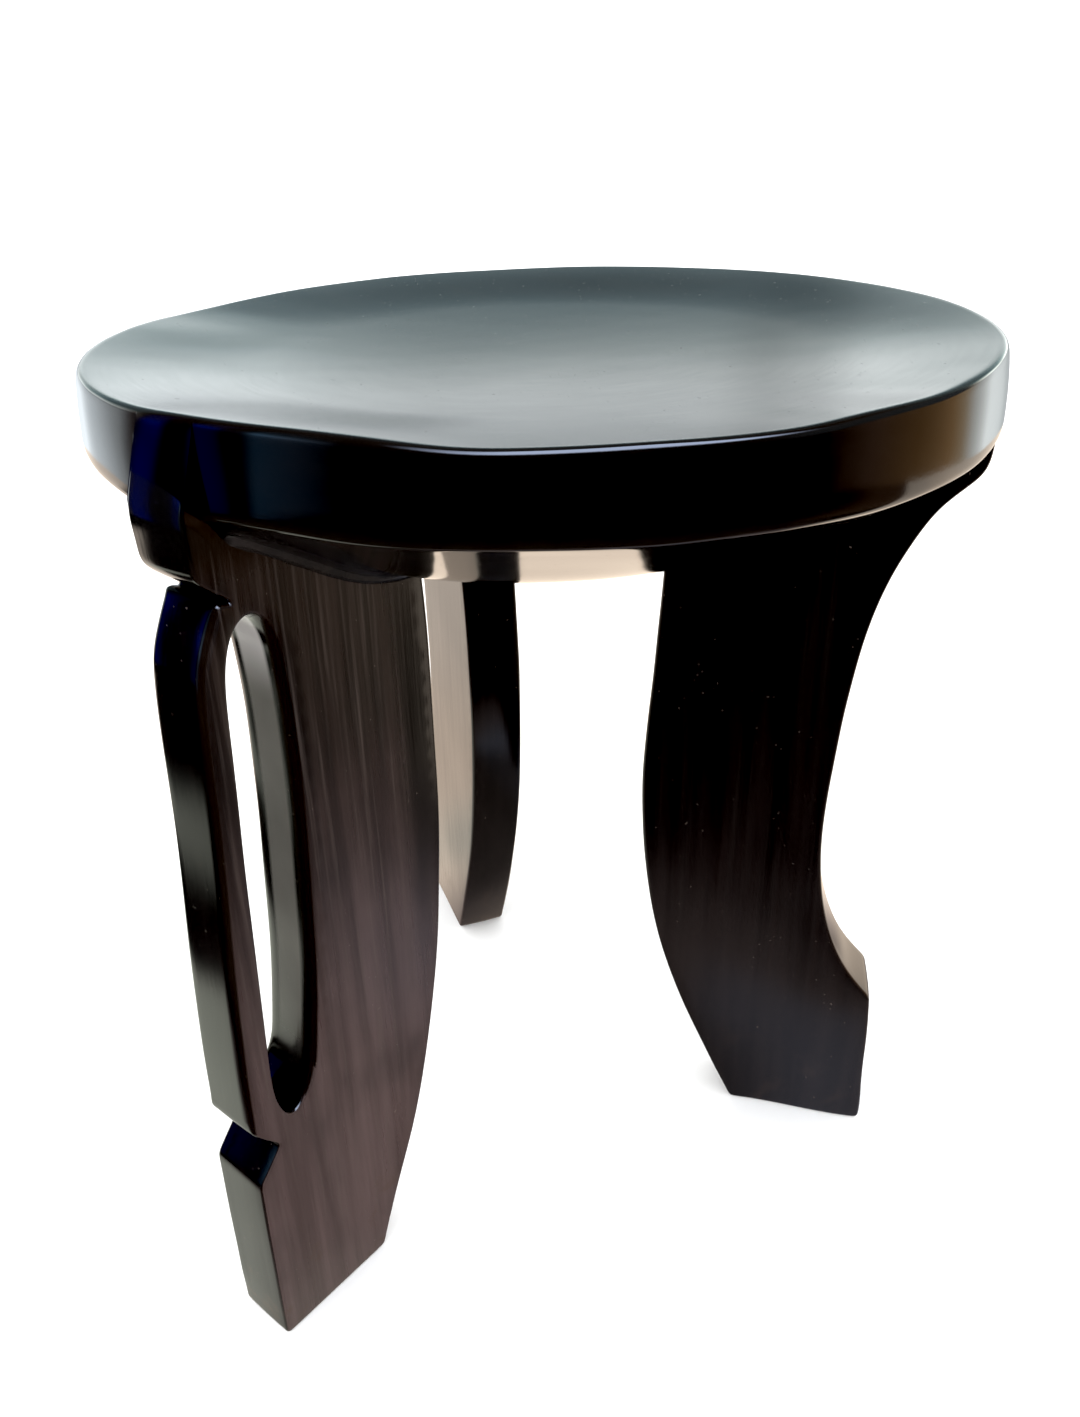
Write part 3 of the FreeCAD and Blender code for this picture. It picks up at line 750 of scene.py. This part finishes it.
def leg_material():
    m, g = new_material("leg_wood")
    p = g.node("ShaderNodeTexCoord").outputs["Object"]
    s = g.node("ShaderNodeSeparateXYZ")
    g.put(s.inputs[0], p)
    z = s.outputs[2]
    edge = g.attribute("edge")

    long = g.noise(g.vmul(p, (110.0, 110.0, 6.0)), 1.0, 4.0, 0.62, 0.3)
    streak = g.noise(g.vmul(p, (420.0, 420.0, 9.0)), 1.0, 3.0, 0.6)
    fibre = g.noise(g.vmul(p, (1500.0, 1500.0, 34.0)), 1.0, 2.0, 0.5)
    cloud = g.noise(p, 15.0, 3.0, 0.55)
    blot = g.noise(p, 55.0, 4.0, 0.65, 0.6)
    speck = g.span(g.noise(p, 620.0, 1.0, 0.5), 0.765, 0.80)

    dark = g.mix(g.span(long, 0.32, 0.72), (0.0007, 0.0006, 0.0006), (0.0028, 0.0021, 0.0019))
    # painted shade and light: the brown of a flat face is darker towards the top and lighter towards the foot
    upper = g.mix(g.span(long, 0.30, 0.72), (0.0030, 0.0014, 0.0010), (0.0110, 0.0060, 0.0045))
    lower = g.mix(g.span(long, 0.28, 0.72), (0.0330, 0.0200, 0.0186), (0.0600, 0.0385, 0.0365))
    brown = g.mix(g.span(g.math("ADD", z, g.math("MULTIPLY", g.math("SUBTRACT", cloud, 0.5), 0.14)), 0.31, 0.08), upper, lower)
    # worn flat faces show brown, and this also paints light: brown where a leg's face is lit, near black where it is in
    # shade; the pale streaks follow it
    worn_and_lit_face = g.math("MULTIPLY", g.attribute("wear_and_light"), g.attribute("flat"))
    colour = g.mix(worn_and_lit_face, dark, brown)
    colour = g.mix(g.math("MULTIPLY", g.span(streak, 0.5, 0.8), g.span(worn_and_lit_face, 0.0, 1.0, 0.25, 0.5)), colour, g.mix(worn_and_lit_face, (0.008, 0.006, 0.005), (0.060, 0.043, 0.036)))
    colour = g.mix(g.math("MULTIPLY", g.span(cloud, 0.55, 0.8), 0.35), colour, (0.0034, 0.0035, 0.0037))
    low = g.span(z, 0.075, 0.004)
    worn_and_lit = g.math("MULTIPLY", g.math("MULTIPLY", g.span(blot, 0.54, 0.70), low), g.span(g.attribute("wear_and_light"), 0.0, 1.0, 0.15, 0.8))
    colour = g.mix(g.math("MULTIPLY", worn_and_lit, 0.75), colour, (0.050, 0.028, 0.017))
    colour = g.mix(g.math("MULTIPLY", edge, 0.12), colour, (0.030, 0.018, 0.012))
    colour = g.mix(g.math("MULTIPLY", speck, 0.3), colour, (0.14, 0.11, 0.09))

    flat = g.attribute("flat")
    rough = g.span(worn_and_lit_face, 0.0, 1.0, 0.20, 0.30, smooth=False)
    rough = g.math("SUBTRACT", rough, g.math("MULTIPLY", g.math("SUBTRACT", 1.0, flat), 0.08))
    rough = g.math("ADD", rough, g.math("MULTIPLY", g.math("MULTIPLY", g.math("SUBTRACT", streak, 0.5), flat), 0.16))
    rough = g.math("ADD", rough, g.math("MULTIPLY", g.math("SUBTRACT", cloud, 0.5), 0.08))
    rough = g.math("ADD", rough, g.math("MULTIPLY", worn_and_lit, 0.15), clamp=True)
    slot = g.attribute("slot")
    slot = g.math("MULTIPLY", slot, g.span(z, 0.132, 0.160))
    # grey dust on the slot's wall, which also paints in its reflected light
    colour = g.mix(g.math("MULTIPLY", slot, g.span(cloud, 0.2, 0.7, 0.55, 0.9)), colour, (0.098, 0.092, 0.080))
    # painted highlight: the slot's top end much lighter, as light caught from above
    colour = g.mix(g.math("MULTIPLY", slot, g.span(z, 0.297, 0.331)), colour, (0.42, 0.40, 0.385))
    rough = g.math("ADD", rough, g.math("MULTIPLY", slot, 0.10))
    head = g.span(z, 0.348, 0.366)
    colour = g.mix(head, colour, (0.0030, 0.0028, 0.0026))
    rough = g.math("ADD", g.math("MULTIPLY", rough, g.math("SUBTRACT", 1.0, head)), g.math("MULTIPLY", head, 0.095))

    n = g.bump(streak, 0.00006, 0.5)
    n = g.bump(fibre, 0.00003, 0.45, n)
    n = g.bump(speck, 0.00006, 0.5, n)
    finish_surface(g, colour, rough, n)
    return m


def wedge_material():
    m, g = new_material("wedge_wood")
    p = g.node("ShaderNodeTexCoord").outputs["Object"]
    streak = g.noise(g.vmul(p, (700.0, 700.0, 40.0)), 1.0, 3.0, 0.6)
    cloud = g.noise(p, 90.0, 3.0, 0.5)
    colour = g.mix(g.span(streak, 0.3, 0.7), (0.10, 0.058, 0.030), (0.21, 0.128, 0.068))
    rough = g.math("ADD", 0.55, g.math("MULTIPLY", g.math("SUBTRACT", cloud, 0.5), 0.2))
    finish_surface(g, colour, rough, g.bump(streak, 0.00008, 0.6))
    return m


def floor_material():
    m, g = new_material("pale_floor")
    p = g.node("ShaderNodeTexCoord").outputs["Object"]
    broad = g.noise(p, 2.2, 3.0, 0.5)
    fine = g.noise(p, 90.0, 4.0, 0.6)
    colour = g.mix(broad, (0.86, 0.85, 0.83), (0.90, 0.89, 0.875))
    colour = g.mix(g.math("MULTIPLY", fine, 0.25), colour, (0.82, 0.80, 0.77))
    finish_surface(g, colour, 0.75, g.bump(fine, 0.0004, 0.3), specular=0.2)
    return m


SEAT_WOOD, LEG_WOOD, WEDGE_WOOD = seat_material(), leg_material(), wedge_material()

for piece, node, slot, material in (
    (seat, "seat", "seat_wood", SEAT_WOOD),
    (handle, "handle_leg", "leg_wood", LEG_WOOD),
    (right, "right_leg", "leg_wood", LEG_WOOD),
    (rear, "rear_leg", "leg_wood", LEG_WOOD),
):
    piece.data.materials.append(material)
    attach(piece, "root")
    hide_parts(node)

for name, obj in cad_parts.items():
    if name.endswith("_wedge"):
        obj.data.materials.clear()
        obj.data.materials.append(WEDGE_WOOD)

# ------------------------------------------------------------------ the room
scene = bpy.context.scene


def view_point(x, y, z):
    """A point in the view's directions, metres about the seat's axis, in the frame."""
    a = math.radians(VIEW_TURN)
    return Vector((
        x * math.cos(a) - y * math.sin(a),
        x * math.sin(a) + y * math.cos(a) + SEAT_AXIS_Y * 0.001,
        z,
    ))


def sheet(name, corners, material):
    mesh = bpy.data.meshes.new(name)
    mesh.from_pydata([tuple(c) for c in corners], [], [tuple(range(len(corners)))])
    mesh.update()
    obj = bpy.data.objects.new(name, mesh)
    scene.collection.objects.link(obj)
    obj.data.materials.append(material)
    return obj


FLOOR = floor_material()
sheet("floor", [(-9, -9, 0), (9, -9, 0), (9, 9, 0), (-9, 9, 0)], FLOOR)


def only_in_reflections(obj):
    obj.visible_camera = False
    obj.visible_diffuse = False
    obj.visible_transmission = False
    obj.visible_volume_scatter = False
    obj.visible_shadow = False


def low_surround_material():
    """The ground as the polish mirrors it: bright close to the stool, dark in front and further off."""
    m, g = new_material("low_surround")
    p = g.node("ShaderNodeTexCoord").outputs["Object"]
    s = g.node("ShaderNodeSeparateXYZ")
    g.put(s.inputs[0], p)
    x = s.outputs[0]
    y = g.math("SUBTRACT", s.outputs[1], SEAT_AXIS_Y * 0.001)
    t = math.radians(VIEW_TURN)
    ahead = g.math("SUBTRACT", g.math("MULTIPLY", y, math.cos(t)), g.math("MULTIPLY", x, math.sin(t)))
    reach = g.math("SQRT", g.math("ADD", g.math("MULTIPLY", x, x), g.math("MULTIPLY", y, y)))
    across = g.math("ADD", g.math("MULTIPLY", x, math.cos(t)), g.math("MULTIPLY", y, math.sin(t)))
    ragged = g.math("MULTIPLY", g.math("SUBTRACT", g.noise(p, 9.0, 3.0, 0.6), 0.5), 0.10)
    bound = g.math("ADD", reach, g.math("MULTIPLY", ragged, 0.6))
    patch = g.math("MULTIPLY", g.math("MULTIPLY", g.span(bound, 0.54, 0.575), g.span(bound, 0.66, 0.60)), 0.65)
    left = g.math("MULTIPLY", g.span(g.math("ADD", across, ragged), -0.06, -0.16), g.math("MAXIMUM", g.span(bound, 0.45, 0.39), patch))
    left = g.math("MULTIPLY", left, g.span(g.math("ADD", ahead, g.math("MULTIPLY", ragged, 0.4)), -0.20, -0.15))
    rear = g.span(ahead, 0.10, 0.19)
    rear = g.math("MULTIPLY", rear, g.math("MAXIMUM", g.span(across, 0.40, 0.25), g.span(ahead, 0.50, 0.35)))
    distant = g.math("MULTIPLY", g.span(reach, 1.0, 1.15), g.math("MULTIPLY", g.span(across, -0.74, -0.90), g.span(ahead, 0.62, 0.42)))
    rear = g.math("MULTIPLY", rear, g.math("SUBTRACT", 1.0, distant))
    right = g.math("MULTIPLY", g.span(ahead, -0.07, -0.02), g.span(across, 0.26, 0.38))
    right = g.math("MULTIPLY", right, g.math("MAXIMUM", g.span(ahead, 0.55, 0.40), g.span(across, 0.48, 0.60)))
    left = g.math("MULTIPLY", left, g.span(ahead, 0.26, 0.17))
    front = g.span(g.math("ADD", ahead, ragged), -0.28, -0.11)
    front = g.math("MULTIPLY", front, g.math("MULTIPLY", g.span(across, -0.55, -0.35), g.span(across, 0.46, 0.18)))
    gap = g.math("MULTIPLY", g.math("MULTIPLY", g.span(bound, 0.40, 0.44), g.span(bound, 0.60, 0.55)), g.span(across, -0.18, -0.28))
    front = g.math("MULTIPLY", front, g.math("SUBTRACT", 1.0, g.math("MULTIPLY", gap, 0.9)))
    shade = g.span(reach, 0.15, 0.09)
    warm = g.mix(g.span(across, -0.09, -0.17), (0.55, 0.455, 0.365), (0.46, 0.375, 0.30))
    warm = g.mix(g.span(across, -0.20, -0.36), warm, (0.47, 0.405, 0.345))
    tone = g.mix(front, (0.001, 0.001, 0.002), (0.135, 0.110, 0.105))
    tone = g.mix(g.math("MULTIPLY", g.math("MULTIPLY", g.span(across, 0.04, 0.08), g.span(across, 0.24, 0.14)), g.span(ahead, -0.16, -0.09)), tone, (0.17, 0.175, 0.21))
    tone = g.mix(g.math("MULTIPLY", g.span(across, 0.62, 0.76), g.span(ahead, -0.60, -0.30)), tone, (0.055, 0.031, 0.020))
    tone = g.mix(g.math("MULTIPLY", shade, 0.85), tone, (0.050, 0.044, 0.041))
    tone = g.mix(right, tone, (0.50, 0.425, 0.35))
    tone = g.mix(rear, tone, warm)
    tone = g.mix(left, tone, g.mix(g.span(reach, 0.34, 0.22), (0.36, 0.375, 0.32), (0.27, 0.275, 0.24)))
    glow = g.node("ShaderNodeEmission")
    g.put(glow.inputs[0], tone)
    glow.inputs[1].default_value = 3.2
    o = g.node("ShaderNodeOutputMaterial")
    g.put(o.inputs["Surface"], glow.outputs[0])
    return m


def disc(name, radius, z, material, steps=48):
    ring = [2 * math.pi * k / steps for k in range(steps)]
    return sheet(name, [(radius * math.cos(a), radius * math.sin(a) + SEAT_AXIS_Y * 0.001, z) for a in ring], material)


only_in_reflections(disc("low_surround", 1.6, 0.0008, low_surround_material()))


def ramp(g, factor, stops, kind="EASE"):
    n = g.node("ShaderNodeValToRGB")
    n.color_ramp.interpolation = kind
    e = n.color_ramp.elements
    while len(e) > 1:
        e.remove(e[-1])
    e[0].position, e[0].color = stops[0][0], (*stops[0][1], 1.0)
    for at, colour in stops[1:]:
        k = e.new(at)
        k.color = (*colour, 1.0)
    g.put(n.inputs[0], factor)
    return n.outputs[0]


def surround_material():
    """What stands round the set, as the polish mirrors it: by direction from the seat's axis."""
    m, g = new_material("surround")
    p = g.node("ShaderNodeTexCoord").outputs["Object"]
    s = g.node("ShaderNodeSeparateXYZ")
    g.put(s.inputs[0], p)
    x, y, z = s.outputs
    y = g.math("SUBTRACT", y, SEAT_AXIS_Y * 0.001)
    flat = g.math("SQRT", g.math("ADD", g.math("MULTIPLY", x, x), g.math("MULTIPLY", y, y)))
    angle = g.math("SUBTRACT", g.math("ARCTAN2", y, x), math.radians(VIEW_TURN))
    share = g.math("FRACT", g.math("ADD", g.math("DIVIDE", angle, 2 * math.pi), 1.0))
    height = g.math("DIVIDE", g.math("ARCTAN2", g.math("SUBTRACT", z, 0.38), flat), math.pi / 2)
    power = 5.0

    def tint(at, r, gr, bl):
        return (at / 360.0, (r / power, gr / power, bl / power))

    dark = (0.002, 0.0025, 0.006)
    ring = ramp(g, share, [
        tint(0, 0.50, 0.27, 0.11), tint(13, 0.85, 0.50, 0.22), tint(19, 1.0, 0.75, 0.45), tint(24, 1.5, 1.5, 1.35),
        tint(34, 2.3, 2.4, 2.25), tint(50, 0.76, 0.80, 0.76), tint(62, 0.62, 0.63, 0.62), tint(116, 0.62, 0.65, 0.65),
        tint(131, 1.6, 1.7, 1.68), tint(145, 1.32, 1.42, 1.40), tint(155, 1.15, 1.22, 1.20), tint(161, 0.93, 0.98, 0.95),
        tint(164.5, 0.45, 0.46, 0.45), tint(167, 0.18, 0.14, 0.12), tint(169.5, *dark), tint(172, 0.004, 0.02, 0.34), tint(177, 0.004, 0.02, 0.31), tint(179, *dark), tint(187.5, *dark),
        tint(190.5, 0.004, 0.02, 0.24), tint(196.5, 0.004, 0.018, 0.18), tint(198.5, *dark), tint(203.5, *dark),
        tint(206.5, 0.10, 0.20, 0.32), tint(215.5, 0.10, 0.15, 0.22), tint(227.5, *dark), tint(322, *dark),
        tint(332, 0.03, 0.015, 0.008), tint(344, 0.30, 0.17, 0.11), tint(360, 0.50, 0.27, 0.11),
    ], "LINEAR")
    away = g.math("ABSOLUTE", g.math("SUBTRACT", g.math("MULTIPLY", share, 360.0), 90.0))
    fall = ramp(g, height, [
        (0.0, (0.31, 0.315, 0.335)), (2 / 90, (0.35, 0.36, 0.39)), (4 / 90, (0.51, 0.52, 0.55)),
        (6.6 / 90, (0.94, 0.96, 0.975)), (8.5 / 90, (0.86, 0.875, 0.88)), (10 / 90, (0.62, 0.65, 0.66)),
        (12 / 90, (0.475, 0.52, 0.52)), (14 / 90, (0.285, 0.34, 0.34)), (17 / 90, (0.150, 0.222, 0.245)),
        (20 / 90, (0.150, 0.215, 0.245)), (23 / 90, (0.135, 0.18, 0.20)), (29 / 90, (0.070, 0.094, 0.104)),
        (38 / 90, (0.032, 0.04, 0.046)), (1.0, (0.022, 0.027, 0.032)),
    ], "LINEAR")
    tone = g.mix(1.0, ring, fall, "MULTIPLY")
    belt = g.math("MULTIPLY", g.span(height, 5 / 90, 8.5 / 90), g.span(height, 19 / 90, 14 / 90))
    near_side = g.math("ADD", g.math("MULTIPLY", g.span(away, 5.0, 18.0), 0.38), g.math("MULTIPLY", g.span(away, 11.0, 18.0), 0.32))
    far_side = g.math("ADD", g.math("MULTIPLY", g.span(away, 12.5, 15.5), 0.3), g.math("MULTIPLY", g.span(away, 15.5, 18.5), 0.95))
    left_half = g.math("GREATER_THAN", share, 0.25)
    flank = g.math("ADD", g.math("MULTIPLY", left_half, near_side), g.math("MULTIPLY", g.math("SUBTRACT", 1.0, left_half), far_side))
    gain = g.math("MULTIPLY", 3.3, g.math("ADD", 1.0, g.math("MULTIPLY", belt, flank)))
    dim = g.math("MULTIPLY", g.math("SUBTRACT", 1.0, left_half), g.math("MULTIPLY", g.span(away, 9.5, 13.5), g.span(away, 40.0, 30.0)))
    gain = g.math("MULTIPLY", gain, g.math("SUBTRACT", 1.0, g.math("MULTIPLY", dim, 0.23)))
    wing = g.math("MULTIPLY", g.span(share, 114 / 360, 124 / 360), g.span(share, 200 / 360, 170 / 360))
    wing = g.math("MULTIPLY", wing, g.span(height, 0.5 / 90, 5 / 90))
    gain = g.math("MULTIPLY", gain, g.math("SUBTRACT", 1.0, g.math("MULTIPLY", wing, 0.64)))
    off = g.math("MAXIMUM", g.span(share, 52 / 360, 42 / 360), g.span(share, 280 / 360, 300 / 360))
    off = g.math("MULTIPLY", off, g.span(height, 1.5 / 90, 5 / 90))
    gain = g.math("MULTIPLY", gain, g.math("SUBTRACT", 1.0, g.math("MULTIPLY", off, 0.62)))
    boost = g.node("ShaderNodeCombineXYZ")
    for socket in boost.inputs:
        g.put(socket, gain)
    tone = g.mix(1.0, tone, boost.outputs[0], "MULTIPLY")
    dull = g.math("MAXIMUM", g.span(share, 28 / 360, 18 / 360), g.span(share, 312 / 360, 330 / 360))
    dull = g.math("MULTIPLY", dull, g.math("MULTIPLY", g.span(height, 3 / 90, 7 / 90), g.span(height, 40 / 90, 24 / 90)))
    tone = g.mix(dull, tone, (0.022, 0.028, 0.032))
    strip = g.math("MULTIPLY", g.span(height, 24 / 90, 36 / 90), g.span(height, 80 / 90, 66 / 90))
    strip = g.math("MULTIPLY", strip, g.math("MULTIPLY", g.span(share, 236 / 360, 262 / 360), g.span(share, 338 / 360, 318 / 360)))
    tone = g.mix(strip, tone, (1.7, 2.0, 2.7))
    glow = g.node("ShaderNodeEmission")
    g.put(glow.inputs[0], tone)
    glow.inputs[1].default_value = power
    o = g.node("ShaderNodeOutputMaterial")
    g.put(o.inputs["Surface"], glow.outputs[0])
    return m


def dome(name, radius, material, around_steps=72, up_steps=24):
    verts, faces = [], []
    for j in range(up_steps):
        e = 0.5 * math.pi * j / up_steps
        for k in range(around_steps):
            a = 2 * math.pi * k / around_steps
            verts.append((radius * math.cos(e) * math.cos(a), radius * math.cos(e) * math.sin(a) + SEAT_AXIS_Y * 0.001, radius * math.sin(e)))
    verts.append((0.0, SEAT_AXIS_Y * 0.001, radius))
    for j in range(up_steps - 1):
        for k in range(around_steps):
            q = (k + 1) % around_steps
            faces.append((j * around_steps + k, j * around_steps + q, (j + 1) * around_steps + q, (j + 1) * around_steps + k))
    for k in range(around_steps):
        faces.append(((up_steps - 1) * around_steps + k, (up_steps - 1) * around_steps + (k + 1) % around_steps, len(verts) - 1))
    mesh = bpy.data.meshes.new(name)
    mesh.from_pydata(verts, [], faces)
    mesh.update()
    obj = bpy.data.objects.new(name, mesh)
    scene.collection.objects.link(obj)
    obj.data.materials.append(material)
    return obj


only_in_reflections(dome("surround", 1.6, surround_material()))

world = bpy.data.worlds.new("pale_room")
scene.world = world
world.use_nodes = True
g = Graph(world.node_tree)
direction = g.node("ShaderNodeTexCoord").outputs["Generated"]
parts = g.node("ShaderNodeSeparateXYZ")
g.put(parts.inputs[0], direction)
sky = g.mix(g.span(parts.outputs[2], 0.30, 0.85), (1.0, 0.99, 0.975), (0.80, 0.83, 0.87))
back = g.node("ShaderNodeBackground")
g.put(back.inputs[0], sky)
back.inputs[1].default_value = 2.6
g.put(g.node("ShaderNodeOutputWorld").inputs[0], back.outputs[0])


def soft_light(name, at, aim, size, power, colour=(1, 1, 1)):
    data = bpy.data.lights.new(name, "AREA")
    data.shape = "RECTANGLE"
    data.size, data.size_y = size
    data.energy = power
    data.color = colour
    obj = bpy.data.objects.new(name, data)
    obj.location = at
    obj.rotation_euler = (Vector(aim) - Vector(at)).to_track_quat("-Z", "Y").to_euler()
    scene.collection.objects.link(obj)
    return obj


soft_light("overhead", view_point(-0.5, -0.3, 2.4), view_point(0, 0, 0.2), (1.6, 1.6), 9.0, (1.0, 0.985, 0.96))

# ------------------------------------------------------------------- camera
PITCH, YAW, ROLL = math.radians(28.025), math.radians(-0.2917), math.radians(-1.101)
ahead = Vector((math.sin(YAW) * math.cos(PITCH), math.cos(YAW) * math.cos(PITCH), -math.sin(PITCH)))
level = Vector((math.cos(YAW), -math.sin(YAW), 0.0))
above = level.cross(ahead)
side = math.cos(ROLL) * level + math.sin(ROLL) * above
rise = -math.sin(ROLL) * level + math.cos(ROLL) * above
turn = Matrix.Rotation(math.radians(VIEW_TURN), 3, "Z")
axes = Matrix((turn @ side, turn @ rise, turn @ -ahead)).transposed()
camera_data = bpy.data.cameras.new("camera")
camera_data.sensor_width = 36.0
camera_data.sensor_height = 36.0
camera_data.lens = 1144.26 * 36.0 / 1417.0
camera_data.clip_start = 0.02
camera = bpy.data.objects.new("camera", camera_data)
camera.matrix_world = Matrix.Translation(view_point(0.0, -0.48715, 0.48601)) @ axes.to_4x4()
scene.collection.objects.link(camera)
scene.camera = camera

scene.view_settings.view_transform = "Standard"
scene.view_settings.look = "None"
scene.view_settings.exposure = 0.0
scene.view_settings.use_curve_mapping = True
scene.view_settings.curve_mapping.black_level = (0.006, 0.006, 0.006)
scene.view_settings.curve_mapping.update()
